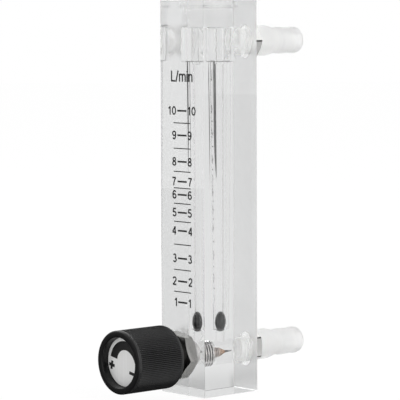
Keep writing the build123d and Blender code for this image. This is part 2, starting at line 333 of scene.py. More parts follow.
def grained(name, look=None):
    look = look or looks[name]
    ior = look.get("ior", 1.5)
    material, tree, shader = newMaterial(name, look["color"], look["roughness"][0], ior=ior)
    grain = noiseSocket(tree, look["grain"], look.get("stretch", (1, 1, 1)))
    if "dark" in look:
        feedColor(tree, shader, grain, look["dark"], look["color"])
    feedRoughness(tree, shader, grain, look["roughness"])
    if "bump" in look:
        feedBump(tree, shader, grain, *look["bump"])
    return material, tree, shader


# Makes a surface glow white: painted light, for parts that are no lamp
def glowWhite(shader, strength):
    shader.inputs["Emission Color"].default_value = (1, 1, 1, 1)
    shader.inputs["Emission Strength"].default_value = strength


acrylicTint = {"color": (0.745, 0.75, 0.75), "ior": 1.49}
acrylicClear = {"color": (1.0, 1.0, 1.0), "ior": 1.49}
tappedLook = {**acrylicClear, "roughness": (0.01, 0.05), "bump": (0.5, 0.003), "grain": 900}
bondedLook = {**tappedLook, "bonded": 0.93}
acrylicLooks = {
    "polished": {**acrylicTint, "roughness": (0.0, 0.02), "bump": (0.5, 0.001), "grain": 60},
    "satin": {**acrylicTint, "roughness": (0.04, 0.08), "bump": (0.5, 0.002), "grain": 300},
    "reamed": {
        **acrylicClear, "roughness": (0.0, 0.03), "bump": (0.5, 0.002), "grain": 400,
        "stretch": (1, 1, 0.05),
    },
    "tapped": tappedLook, "bonded": bondedLook, "port": {**bondedLook, "bondedFrom": (-4.2, -3.4)},
    "sawn": {**acrylicTint, "roughness": (0.26, 0.34), "bump": (0.5, 0.002), "grain": 300},
}


# Acrylic is tinted where light enters and leaves the block. Bonded acrylic is where thread sits in thread
# and light mostly goes straight on: a share of it is see-through. Lamp light and light scattered by the
# pieces inside pass all of it straight, so that those pieces aren't left dark
def acrylic(name, look):
    material, tree, shader = grained(name + "Acrylic", look)
    shader.inputs["Transmission Weight"].default_value = 1.0
    least = look.get("bonded", 0.0)
    if "bondedFrom" in look:
        least = placeRamp(tree, "Y", look["bondedFrom"], (0, least))
    path = addNode(tree, "LightPath").outputs
    share = mathSocket(tree, "MAXIMUM", path["Is Shadow Ray"], path["Is Diffuse Ray"])
    passLight(tree, shader, mathSocket(tree, "MAXIMUM", share, least))
    return material


acrylics = {name: acrylic(name, look) for name, look in acrylicLooks.items()}

# The nylon glows white: painted light, stronger where it sits in the clear block and against it
milkyPaintedGlow = {"inBlock": 0.09, "outside": 0.035, "change": (16.5, 17.5)}
milkyBody = {
    "Transmission Weight": 0.65, "Subsurface Weight": 0.3, "Subsurface Radius": (1.0, 1.0, 0.95),
    "Subsurface Scale": 2 * mm,
}
milkyNylon, milkyTree, milkyShader = grained("milkyNylon")
for inputName, inputValue in milkyBody.items():
    milkyShader.inputs[inputName].default_value = inputValue
glowWhite(milkyShader, milkyPaintedGlow["outside"])
milkyGlow = placeRamp(milkyTree, "Y", milkyPaintedGlow["change"], (milkyPaintedGlow["inBlock"], milkyPaintedGlow["outside"]))
milkyTree.links.new(milkyGlow, milkyShader.inputs["Emission Strength"])

# Colour, worn colour, roughness, height of the rings and share of metal
# Lit and shaded copies of one plate: the hexagon's plate is painted dark, a painted shade, and the shank's,
# seen through the block, is painted pale, a painted light
metals = {
    "nickel": ((0.4, 0.395, 0.385), (0.33, 0.325, 0.315), (0.16, 0.3), 0.01),
    "litShankNickel": ((0.95, 0.93, 0.92), (0.85, 0.83, 0.82), (0.16, 0.3), 0.01, 0.5),
    "brass": ((0.95, 0.84, 0.74), (0.88, 0.7, 0.56), (0.18, 0.34), 0.02, 0.7),
    "steel": ((0.62, 0.62, 0.63), (0.52, 0.52, 0.53), (0.25, 0.4), 0.01),
}
turning = {"rings": 400, "ringStretch": (0.02, 12, 0.02), "stains": 260, "detail": 3, "bump": 0.35}


# Turned and plated metal: fine rings square to the port line, from a noise stretched along it
def turnedMetal(name, color, worn, roughness, ringHeight, metallic=1.0):
    material, tree, shader = newMaterial(name, color, roughness[0], metallic=metallic)
    rings = noiseSocket(tree, turning["rings"], turning["ringStretch"], turning["detail"])
    stains = noiseSocket(tree, turning["stains"], detail=turning["detail"])
    feedColor(tree, shader, stains, worn, color)
    feedRoughness(tree, shader, rings, roughness)
    feedBump(tree, shader, rings, turning["bump"], ringHeight)
    return material


nickel, litShankNickel, brass, steel = (turnedMetal(name, *values) for name, values in metals.items())

# The shank's grooves are painted dark: painted shade in the thread's hollows
shankGrooveShade = {"radius": (3.5, 3.72), "color": (0.03, 0.028, 0.028)}
grooves = placeRamp(litShankNickel.node_tree, "radius", shankGrooveShade["radius"], (1, 0), inlet)
shade(litShankNickel, grooves, shankGrooveShade["color"])

# Along the stem, painted light and shade: pale up to the cone, a painted highlight, with darker grooves at
# the thread's pitch, a painted shade. Then the cone turns to copper and the needle to dark grey, a painted
# shade, but for its tip, painted pale as a painted highlight
stemPitch = 0.75
stemGrooveShade = (0.3, 0.22, 0.18)
stemColourAndShadeZones = [
    ((-0.8, 2.0), (0, 0.7), (0.55, 0.28, 0.13)), ((1.9, 2.3), (0, 1), (0.16, 0.16, 0.16)),
    ((3.2, 3.8), (0, 1), (0.6, 0.6, 0.6)),
]
brassTree = brass.node_tree
shade(brass, placeRamp(brassTree, "Y", (-0.9, -0.2), (1, 0)), (0.97, 0.94, 0.92))
# Blender's bands repeat after pi / 10 divided by their scale
bandScale = math.pi / (10 * stemPitch * mm)
bandInputs = {"Vector": objectPlace(brassTree), "Scale": bandScale}
bands = addNode(brassTree, "TexWave", bandInputs, bands_direction="Y")
shade(brass, bands.outputs["Fac"], stemGrooveShade)
for zone, share, color in stemColourAndShadeZones:
    shade(brass, placeRamp(brassTree, "Y", zone, share), color)

# The ridges of the knob's flutes are painted paler than the rest: a painted highlight where they catch the
# light
knobRidgeHighlight = {"radius": (9.46, 9.6), "color": (0.024, 0.024, 0.0244), "gloss": 0.3}
blackPlastic, blackTree, blackShader = grained("blackPlastic")
blackShader.inputs["Specular IOR Level"].default_value = knobRidgeHighlight["gloss"]
shade(blackPlastic, placeRamp(blackTree, "radius", knobRidgeHighlight["radius"], (0, 1), inlet), knobRidgeHighlight["color"])

siliconeClear = 0.9
silicone, siliconeTree, siliconeShader = grained("silicone")
siliconeShader.inputs["Transmission Weight"].default_value = siliconeClear
passLight(siliconeTree, siliconeShader, siliconeClear)

# The disc glows a little: painted light that lifts the shade of the knob's recess
discPaintedGlow = 0.07
discMetal, _, discShader = grained("discMetal")
glowWhite(discShader, discPaintedGlow)
rubber, floatBlack, ink = (grained(name)[0] for name in ("rubber", "floatBlack", "ink"))
print("materials made")


# Acrylic block: a chamfered bar, bored by three turned cutters that carry the female threads
block = {
    "edge": 0.05, "tubeOffset": 0.5, "passage": 2.0, "seat": 19.55, "tubeBottom": 3.15, "tubeTop": 4.2,
    "tubeEnd": 101.4, "chamber": 6.0, "recessFloor": 117.5, "recess": 7.04, "plugThreadFrom": 111.6,
    "sealPocket": 5.2, "sealDepth": 1.2, "portThread": 4.0, "valvePocket": 7.2, "valveChamber": 3.8,
    "orifice": 0.9, "orificeLength": 1.65, "portDepth": 3.8, "overrun": 1.0, "tubeMargin": 0.1,
    "portMargin": 0.3,
}
threadForm = {"pitch": 1.0, "depth": 0.5}
portEnd = back - block["portDepth"]
valveSeat = portEnd - block["orificeLength"]


def carve(piece, cutter):
    step = piece.modifiers.new("carve", "BOOLEAN")
    step.operation, step.solver, step.object = "DIFFERENCE", "EXACT", cutter
    shown = piece.evaluated_get(bpy.context.evaluated_depsgraph_get())
    carved = bpy.data.meshes.new_from_object(shown)
    piece.modifiers.clear()
    piece.data = carved
    bpy.data.objects.remove(cutter)


def blockMesh():
    e, x = block["edge"], side
    corner = np.array([(x - e, front), (x, front + e), (x, back - e), (x - e, back)])
    ring = np.concatenate([corner, -corner])
    shrink = 1 - e / np.array([x, back])
    levels = [(0, shrink), (e, 1), (top - e, 1), (top, shrink)]
    rows = [np.column_stack([ring * share, np.full(len(ring), z)]) for z, share in levels]
    return skin("acrylicBlock", np.array(rows), caps=True, crisp=20)


# Takes a turned hollow out of the block
def bore(name, corners, at, about=aboutPort, columns=120, thread=None):
    hollow = turned(name, outline(cornersOf(block, corners)), at, about, columns, thread)
    carve(acrylicBlock, looseObject(name, hollow))


acrylicBlock = addPiece("acrylicBlock", blockMesh(), "meter_body", "clear_acrylic", None, ["acrylic_block"])
pitch, overrun = threadForm["pitch"], block["overrun"]
plugThread = {"from": block["plugThreadFrom"], "to": block["recessFloor"] + pitch, "core": 5, **threadForm}
bore("tubeCutter", [
    (inlet, 0, 0), (inlet, "passage", 0), ("seat", "passage", 0), ("seat", "tubeBottom", 0),
    ("tubeEnd", "tubeTop", 0), ("tubeEnd", "chamber", 0.3), ("recessFloor", "chamber", 0),
    ("recessFloor", "recess", 0.2), (top + overrun, "recess", 0), (top + overrun, 0, 0),
], block["tubeOffset"], aboutTube, 144, plugThread)

# The pocket of a seal at the back, and the cutter's end behind it
sealFloor, sealEnd = back - block["sealDepth"], front + block["sealDepth"]
backPocket = [
    (sealFloor, "portThread", 0), (sealFloor, "sealPocket", 0.2), (back + overrun, "sealPocket", 0),
    (back + overrun, 0, 0),
]
valvePocket = front + block["valvePocket"]
valveThread = {"from": front, "to": valvePocket + pitch / 2, "core": 3.9, **threadForm}
bore("valveCutter", [
    (front - overrun, 0, 0), (front - overrun, "sealPocket", 0), (sealEnd, "sealPocket", 0.2),
    (sealEnd, "portThread", 0), (valvePocket, "portThread", 0), (valvePocket, "valveChamber", 0),
    (valveSeat, "valveChamber", 0.3), (valveSeat, "orifice", 0), (portEnd, "orifice", 0),
    (portEnd, "portThread", 0), *backPocket,
], inlet, thread=valveThread)
outletThread = {"from": portEnd - pitch, "to": back + pitch, "core": 3.9, **threadForm}
bore("outletCutter", [
    ("tubeOffset", 0, 0), ("tubeOffset", "portThread", 0), *backPocket,
], outlet, thread=outletThread)


# The front, right and top faces are polished, the left and the bottom satin, and the back is as sawn. The
# tapered tube is reamed smooth, the top is filled by the plug, the ports' walls are partly see-through
# behind the valve's thread, and the rest is as tapped
def finishBlock(mesh):
    tidyMesh(mesh, 25)
    x, y, z = faceValues(mesh, "center").T / mm
    polished, satin, reamed, tapped, bonded, port, sawn = range(len(acrylics))
    skinDepth = block["edge"] * 0.9
    depth = np.stack([side - abs(x), back - abs(y), z, top - z]).min(0)
    leftBackOrBottom = faceValues(mesh, "normal") @ (-1, 1, -1) > 0.9
    inTube = (z > block["seat"]) & (z < block["tubeEnd"] - block["tubeMargin"])
    fromPort = np.minimum(np.hypot(x, z - inlet), np.hypot(x, z - outlet))
    atPort = fromPort < block["sealPocket"] + block["portMargin"]
    inside = np.where(inTube, reamed, np.where(atPort, port, tapped))
    inside = np.where(z > block["plugThreadFrom"], bonded, inside)
    outside = np.where(leftBackOrBottom, np.where(back - y < skinDepth, sawn, satin), polished)
    setFinishes(mesh, acrylics.values(), np.where(depth < skinDepth, outside, inside))


finishBlock(acrylicBlock.data)
print("acrylic block made", len(acrylicBlock.data.polygons))

# Top plug, clear, with its thread and screwdriver slot
plug = {
    "noseEnd": 100.6, "nose": 2.5, "shankEnd": 111.6, "shank": 5.95, "shoulder": 118.54, "head": 6.84,
    "edge": 0.3, "slotWidth": 1.2, "slotDepth": 0.7, "threadLead": 0.4, "noseMargin": 0.3,
}
plugCorners = cornersOf(plug, [
    ("noseEnd", 0, 0), ("noseEnd", "nose", 0.5), ("shankEnd", "nose", 0.3), ("shankEnd", "shank", 0.4),
    ("shoulder", "shank", 0), ("shoulder", "head", 0.2), (top, "head", plug["edge"]), (top, 0, 0),
])
plugMale = {**plugThread, "from": plug["shankEnd"] - plug["threadLead"]}
plugMesh = turned("topPlug", outline(plugCorners), block["tubeOffset"], aboutTube, 144, plugMale)
topPlug = addPiece("topPlug", plugMesh, "meter_body", "clear_acrylic", None, ["top_plug"])
slotHalf = np.array([plug["head"] + overrun, plug["slotWidth"] / 2])
slotRing = np.array([(1, 1), (-1, 1), (-1, -1), (1, -1)]) * slotHalf + (0, block["tubeOffset"])
slotRows = [np.column_stack([slotRing, np.full(4, z)]) for z in (top - plug["slotDepth"], top + overrun)]
carve(topPlug, looseObject("slotCutter", skin("slotCutter", np.array(slotRows), caps=True)))
noseTop = plug["shankEnd"] + plug["noseMargin"]
tidyMesh(topPlug.data, 30)
setFinishes(
    topPlug.data, [acrylics["bonded"], acrylics["reamed"]],
    faceValues(topPlug.data, "center")[:, 2] < noseTop * mm)
print("top plug made")

# Float ball: latitude rows and longitude columns of a sphere
floatLow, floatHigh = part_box("float_ball")
floatMiddle = (floatLow + floatHigh) / 2 / mm
floatRadius = (floatHigh.z - floatLow.z) / 2 / mm
latitude = np.linspace(0, math.pi, 65)
ballPath = np.column_stack([floatMiddle.z - floatRadius * np.cos(latitude), floatRadius * np.sin(latitude)])
ballMesh = turned("floatBall", ballPath, floatMiddle.y, aboutTube)
addPiece("floatBall", ballMesh, "float", "float_black", floatBlack, ["float_ball"])

# Valve body: rows of the turned outline, with the hexagon's own rows between neck and shank
valve = {
    "seat": front - 0.02, "neckFace": -17.6, "neck": 4.5, "hexFront": -15.0, "flat": 6.5, "turn": -9.7,
    "shank": 3.95, "shankEnd": -3.7, "gland": 3.5, "glandEnd": -11.725, "tap": 3.025,
    "threadGap": 0.2, "threadStep": 0.1,
}
hexChamfer = {"angle": 30, "face": 0.985, "land": 0.05}


# Rows of a chamfered hexagon between start and end: a flat circle, the crease where the chamfer's cone
# meets the six sides, and the same again at the other end. The hexagon's turn is measured from +X towards
# +Z, the columns' angle from +Z towards +X
def hexRows(start, end, flat, turn, angle):
    reach = hexReach(math.pi / 2 - angle, flat, turn)
    cut = (reach - flat) * math.tan(math.radians(hexChamfer["angle"])) + hexChamfer["land"]
    circle = 0 * angle + flat * hexChamfer["face"]
    along = [start + 0 * cut, start + cut, end - cut, end + 0 * cut]
    radius = [circle, reach, reach, circle]
    return np.concatenate(along), np.concatenate(radius)


def valveMesh():
    angle = angles(180)
    frontPath = outline(cornersOf(valve, [
        ("glandEnd", "gland", 0), ("neckFace", "gland", 0.15), ("neckFace", "neck", 0.3),
        ("hexFront", "neck", 0),
    ]))
    start, end = front + valve["threadGap"], valve["shankEnd"] + pitch
    thread = {"from": start, "to": end, "core": 3.5, **threadForm}
    shankPath = outline(cornersOf(valve, [
        ("seat", "shank", 0), ("shankEnd", "shank", 0.35), ("shankEnd", "tap", 0.1), ("glandEnd", "tap", 0),
        ("glandEnd", "gland", 0),
    ]))
    shankPath = fineRows(shankPath, valve["seat"], valve["shankEnd"], valve["threadStep"])
    hexAlong, hexRadius = hexRows(valve["hexFront"], valve["seat"], valve["flat"], valve["turn"], angle)
    shankRadius = shankPath[:, 1:] - threadDepth(shankPath[:, :1], shankPath[:, 1:], angle, thread)
    along = np.concatenate([frontPath[:, :1] + 0 * angle, hexAlong, shankPath[:, :1] + 0 * angle])
    radius = np.concatenate([frontPath[:, 1:] + 0 * angle, hexRadius, shankRadius])
    return skin("valveBody", aboutPort(along, radius, angle, inlet), crisp=24)


valveBody = addPiece("valveBody", valveMesh(), "meter_body", "nickel_plate", None, ["valve_body"])
setFinishes(valveBody.data, [nickel, litShankNickel], faceValues(valveBody.data, "center")[:, 1] > front * mm)

# Stem and needle in brass
stem = {
    "end": -28.0, "radius": 2.5, "landFront": -15.3, "land": 3.45, "landBack": -12.9, "groove": 2.35,
    "grooveWidth": 1.3, "thread": 2.975, "threadEnd": -4.0, "rings": 2.05, "cone": 1.45, "coneStart": -0.3,
    "coneEnd": 2.15, "neck": 0.42, "tip": 0.16, "tipLength": 2.9, "tap": 1.5, "tapDepth": 6.0,
    "threadTaper": 0.3,
}
grooveMiddle = (stem["landFront"] + stem["landBack"]) / 2
grooveFront, grooveBack = grooveMiddle - stem["grooveWidth"] / 2, grooveMiddle + stem["grooveWidth"] / 2
tapEnd, tipEnd = stem["end"] + stem["tapDepth"], stem["coneEnd"] + stem["tipLength"]
ringsStart = stem["threadEnd"] + stem["threadTaper"]
stemCorners = cornersOf(stem, [
    (tapEnd, 0, 0), (tapEnd, "tap", 0), ("end", "tap", 0.1), ("end", "radius", 0.4),
    ("landFront", "radius", 0.1), ("landFront", "land", 0.15), (grooveFront, "land", 0.1),
    (grooveFront, "groove", 0.1), (grooveBack, "groove", 0.1), (grooveBack, "land", 0.1),
    ("landBack", "land", 0.15), ("landBack", "radius", 0.1), (front, "radius", 0), (front, "thread", 0.1),
    ("threadEnd", "thread", 0.05), (ringsStart, "rings", 0.05), ("coneStart", "cone", 0.1),
    ("coneEnd", "neck", 0.1), (tipEnd, "tip", 0.1), (tipEnd, 0, 0),
])
stemThread = {"from": front, "to": stem["coneStart"], "pitch": stemPitch, "depth": 0.45, "core": 1.1}
stemMesh = turned("needleStem", outline(stemCorners), inlet, thread=stemThread)
addPiece("needleStem", stemMesh, "valve_stem", "brass", brass, ["needle_stem"])
print("valve made")

# Knob: a ring outline with the disc recess, screw pocket and hollow back, its side fluted
knob = {
    "front": -37.0, "back": -19.0, "radius": 9.6, "edge": 0.5, "flutes": 100, "fluteDepth": 0.25,
    "fluteFrom": -35.9, "fluteTo": -19.8, "runOut": 0.3, "recess": 7.55, "discSeat": -33.8, "pocket": 3.5,
    "pocketFloor": -31.2, "hole": 1.7, "stemSeat": -28.0, "hubBore": 2.55, "hub": 4.5, "hubBack": -19.4,
    "hollowFloor": -28.5, "inner": 8.0, "ribs": 4, "ribThickness": 1.2, "ribBack": -19.8, "ribSink": 0.4,
    "columns": 8, "crisp": 38, "veeSteepness": 1.15, "veeLand": 0.1, "skinDepth": 0.3,
}
knobCorners = cornersOf(knob, [
    ("front", "radius", knob["edge"]), ("back", "radius", 0.4), ("back", "inner", 0.2),
    ("hollowFloor", "inner", 0.5), ("hollowFloor", "hub", 0.5), ("hubBack", "hub", 0.3),
    ("hubBack", "hubBore", 0.15), ("stemSeat", "hubBore", 0), ("stemSeat", "hole", 0),
    ("pocketFloor", "hole", 0), ("pocketFloor", "pocket", 0), ("discSeat", "pocket", 0),
    ("discSeat", "recess", 0), ("front", "recess", 0.3),
])


# Flutes: the radius falls by a rounded V that repeats round the knob and runs out near both ends
def knobMesh():
    path = outline(knobCorners, ring=True)
    for edge in (knob["fluteFrom"], knob["fluteTo"]):
        path = fineRows(path, edge - knob["runOut"], edge + knob["runOut"], 6)
    runOutRows = np.linspace(0, knob["runOut"], 5)
    for places in (knob["fluteFrom"] + runOutRows, knob["fluteTo"] - runOutRows):
        path = fineRowsAt(path, places)
    along, radius, angle = path[:, :1], path[:, 1:], angles(knob["flutes"] * knob["columns"])
    wave = np.abs(2 * ((angle * knob["flutes"] / fullTurn) % 1) - 1)
    wave = np.clip(knob["veeSteepness"] * wave - knob["veeLand"], 0, 1)
    runIn = np.clip((along - knob["fluteFrom"]) / knob["runOut"], 0, 1)
    runOut = np.clip((knob["fluteTo"] - along) / knob["runOut"], 0, 1)
    depth = knob["fluteDepth"] * wave * runIn * runOut * (radius > knob["radius"] - knob["skinDepth"])
    return skin("knob", aboutPort(along, radius - depth, angle, inlet), crisp=knob["crisp"])


# Adds rows at chosen distances, on the segments of the outer side that pass them
def fineRowsAt(path, places, least=0.5):
    parts = [path[:1]]
    for a, b in zip(path[:-1], path[1:]):
        span = b[0] - a[0]
        shares = sorted((place - a[0]) / span for place in places if abs(span) > least)
        inside = [share for share in shares if 0 < share < 1]
        parts.append(a + (b - a) * np.array(inside + [1.0])[:, None])
    return np.concatenate(parts)


# Ribs: a flat blade from the hub to the wall, one for each quarter
def ribMeshes():
    half, meshes, sink = knob["ribThickness"] / 2, [], knob["ribSink"]
    near, far = knob["hub"] - sink, knob["inner"] + sink
    for turn in np.arange(knob["ribs"]) * fullTurn / knob["ribs"]:
        across = np.array([math.cos(turn), 0, math.sin(turn)])
        out = np.array([-math.sin(turn), 0, math.cos(turn)])
        ring = [across * a + out * r for a, r in ((-half, near), (half, near), (half, far), (-half, far))]
        rows = [np.array(ring) + (0, y, inlet) for y in (knob["hollowFloor"] - sink, knob["ribBack"])]
        meshes.append(skin("rib", np.array(rows), caps=True))
    return meshes


def joined(name, meshes, crisp=38):
    work = bmesh.new()
    for mesh in meshes:
        work.from_mesh(mesh)
    whole = bpy.data.meshes.new(name)
    work.to_mesh(whole)
    work.free()
    whole.shade_smooth()
    whole.set_sharp_from_angle(angle=math.radians(crisp))
    return whole


wholeKnob = joined("knob", [knobMesh(), *ribMeshes()], knob["crisp"])
addPiece("knob", wholeKnob, "valve_stem", "black_plastic", blackPlastic, ["knob"])

# Disc in the knob's front, with its printed crescent, plus and minus
disc = {
    "face": -34.6, "thickness": 0.8, "radius": 7.45, "edge": 0.12, "ink": 0.02, "turn": -11.0,
    "crescentFrom": 180.0, "crescentTo": -20.0, "crescentOuter": 6.3, "crescentInner": 3.2,
    "signSize": 2.6, "signWidth": 0.92, "plusAt": (-5.66, -1.39), "minusAt": (3.6, -3.18),
}
discBack = disc["face"] + disc["thickness"]
discCorners = cornersOf(disc, [
    (discBack, 0, 0), (discBack, "radius", 0.05), ("face", "radius", disc["edge"]), ("face", 0, 0)])
discMesh = turned("knobDisc", outline(discCorners), inlet)
addPiece("knobDisc", discMesh, "valve_stem", "disc_metal", discMetal, ["knob_disc"])


# A thin printed plate: an outline of (x, z) points on a face that looks to -Y, raised by its thickness
def printed(name, points, face, centre, thickness, turn=0.0):
    c, s = math.cos(math.radians(turn)), math.sin(math.radians(turn))
    turnedPoints = np.asarray(points) @ np.array([[c, s], [-s, c]]) + centre
    rows = [np.column_stack([turnedPoints[:, 0], np.full(len(turnedPoints), y), turnedPoints[:, 1]])
            for y in (face, face - thickness)]
    return skin(name, np.array(rows), caps=True, crisp=20)


# Crescent: the outer edge is an arc, the inner edge a spiral that meets it. The inner radius takes up 0.3 t
# plus 0.7 times t to the fifth power of the gap between the two, where t runs from 0 to 1
def crescentPoints():
    t = np.linspace(0, 1, 60)
    angle = np.radians(disc["crescentFrom"] + (disc["crescentTo"] - disc["crescentFrom"]) * t)
    gap = disc["crescentOuter"] - disc["crescentInner"]
    inner = disc["crescentInner"] + gap * (0.3 * t + 0.7 * t ** 5)
    outerEdge = np.column_stack([np.cos(angle), np.sin(angle)]) * disc["crescentOuter"]
    innerEdge = np.column_stack([np.cos(angle), np.sin(angle)]) * inner[:, None]
    return np.concatenate([outerEdge, innerEdge[-2::-1]])


# Plus as one outline of twelve points, minus as a bar
def plusPoints(size, width):
    a, b = size / 2, width / 2
    parts = [np.array([(a, b), (b, b), (b, a)])]
    for quarter in range(3):
        parts.append(parts[-1] @ np.array([[0, 1], [-1, 0]]))
    return np.concatenate(parts)


def barPoints(length, width):
    return np.array([(1, 1), (-1, 1), (-1, -1), (1, -1)]) * (length / 2, width / 2)


def onDisc(name, points, at=(0, 0)):
    return printed(name, points, disc["face"], (at[0], at[1] + inlet), disc["ink"], disc["turn"])


discPrint = joined("discPrint", [
    onDisc("crescent", crescentPoints()),
    onDisc("plus", plusPoints(disc["signSize"], disc["signWidth"]), disc["plusAt"]),
    onDisc("minus", barPoints(disc["signSize"], disc["signWidth"]), disc["minusAt"]),
])
addPiece("discPrint", discPrint, "valve_stem", "ink", ink)
print("knob made")

# Seals: a soft square section. Each rides a body and lies round a line, at a place along it, with a middle
# radius and a width
sealFillet, sealInset = 0.42, block["sealDepth"] / 2
seals = {
    "valve_body_seal": ("meter_body", aboutPort, front + sealInset, 4.6, 1.16, inlet),
    "outlet_seal": ("meter_body", aboutPort, back - sealInset, 4.6, 1.16, outlet),
    "inlet_seal": ("meter_body", aboutPort, back - sealInset, 4.6, 1.16, inlet),
    "stem_seal_ring": ("stem_seal", aboutPort, grooveMiddle, 2.925, 1.1, inlet),
    "top_plug_seal": ("meter_body", aboutTube, 118.02, 6.52, 1.0, block["tubeOffset"]),
}
for node, (body, about, along, radius, width, at) in seals.items():
    w = width / 2
    corners = [(along + a, radius + r, sealFillet) for a, r in ((-w, -w), (-w, w), (w, w), (w, -w))]
    finish = ("black_rubber", rubber) if node == "stem_seal_ring" else ("clear_silicone", silicone)
    addPiece(node + "Ring", turned(node, outline(corners, ring=True), at, about), body, *finish, [node])

# Rear fittings, washers and nuts
fitting = {
    "start": 7.5, "bore": 2.25, "shank": 3.95, "collarStart": 17.7, "collar": 4.7, "collarEnd": 23.4,
    "barbStart": 26.3, "hose": 3.95, "crest": 4.15, "lead": 3.0, "pitch": 6.0, "land": 1.0, "tip": 37.0,
    "tipHose": 3.85,
}
# The nuts' plate is painted pale, a painted light, and a dark line is painted along their corners, a
# painted reflection
litNutLook = {
    "metal": ((0.93, 0.925, 0.915), (0.82, 0.815, 0.8), (0.1, 0.2), 0.01), "corner": (5.82, 5.9),
    "cornerReflectionTone": (0.05, 0.05, 0.05),
}
nut = {"start": 12.5, "end": 17.5, "flat": 5.2, "bore": 4.05, "chamfer": 0.5}
washer = {"start": 11.02, "end": nut["start"], "radius": 6.5, "bore": 4.05}


def fittingCorners():
    corners = [
        ("start", "bore", 0.15), ("start", "shank", 0.4), ("collarStart", "shank", 0),
        ("collarStart", "collar", 0.35), ("collarEnd", "collar", 1.5), ("barbStart", "hose", 1.5),
    ]
    firstCrest, half = fitting["barbStart"] + fitting["lead"], fitting["land"] / 2
    for crest in (firstCrest, firstCrest + fitting["pitch"]):
        corners += [(crest - fitting["lead"] / 2, "hose", 1.2), (crest - half, "crest", 0.8),
                    (crest + half, "crest", 0.8)]
    return cornersOf(fitting, corners + [("tip", "tipHose", 0.55), ("tip", "bore", 0.3)])



def nutMesh(name, height, turn):
    angle = angles(180)
    hexAlong, hexRadius = hexRows(nut["start"], nut["end"], nut["flat"], turn, angle)
    wide, cut = nut["bore"] + nut["chamfer"], nut["chamfer"]
    hole = outline(cornersOf(nut, [
        ("end", wide, 0), (nut["end"] - cut, "bore", 0), (nut["start"] + cut, "bore", 0),
        ("start", wide, 0),
    ]))
    along = np.concatenate([hexAlong, hole[:, :1] + 0 * angle, hexAlong[:1]])
    radius = np.concatenate([hexRadius, hole[:, 1:] + 0 * angle, hexRadius[:1]])
    return skin(name, aboutPort(along, radius, angle, height), crisp=24)


washerCorners = cornersOf(washer, [
    ("start", "bore", 0.1), ("start", "radius", 0.25), ("end", "radius", 0.25), ("end", "bore", 0.1)])
shankThread = {"from": fitting["start"], "to": fitting["collarStart"], "core": 3.93, **threadForm}

# The block's sawn back keeps nut and washer from being made out through it, as in the photo, and they
# leave the fitting's thread its light
for port, height, turn in (("outlet", outlet, 0), ("inlet", inlet, 30)):
    fittingPath = outline(fittingCorners(), ring=True)
    fittingMesh = turned(port + "Fitting", fittingPath, height, columns=120, thread=shankThread)
    addPiece(port + "Fitting", fittingMesh, "meter_body", "milky_nylon", milkyNylon, [port + "_fitting"])
    nutMetal = turnedMetal(port + "NutMetal", *litNutLook["metal"])
    # Painted reflection: a dark line along the nut's corners
    nutCornerReflection = placeRamp(nutMetal.node_tree, "radius", litNutLook["corner"], (0, 1), height)
    shade(nutMetal, nutCornerReflection, litNutLook["cornerReflectionTone"])
    nutShape = nutMesh(port + "Nut", height, turn)
    washerShape = turned(port + "Washer", outline(washerCorners, ring=True), height)
    for name, shape, slotName, material, node in (
        (port + "Nut", nutShape, "nickel_plate", nutMetal, port + "_nut"),
        (port + "Washer", washerShape, "milky_nylon", milkyNylon, port + "_washer"),
    ):
        piece = addPiece(name, shape, "meter_body", slotName, material, [node])
        piece.visible_transmission = piece.visible_shadow = piece.visible_diffuse = False
print("rear fittings made")

# Printed scale: the ticks are the frame's own node, figures stand left and right of them
scale = {
    "rises": [8.75, 15.2, 22.2, 30.65, 36.2, 41.65, 45.65, 51.7, 59.7, 67.15],
    "figureHeight": 2.6, "stroke": 0.185, "pitch": 0.76, "innerLeft": -2.65, "innerRight": 2.5, "ink": 0.03,
    "unitHeight": 3.3, "unitStroke": 0.15, "unitWidth": 9.73, "unitMiddle": (-0.02, 97.13),
    "unitReach": 2.695,
}


# Points of an ellipse's arc, the angles in degrees
def arc(x, z, radiusX, radiusZ, start, end, step=12):
    angle = np.radians(np.linspace(start, end, 2 + int(abs(end - start) / step)))
    return [(x + radiusX * math.cos(a), z + radiusZ * math.sin(a)) for a in angle]


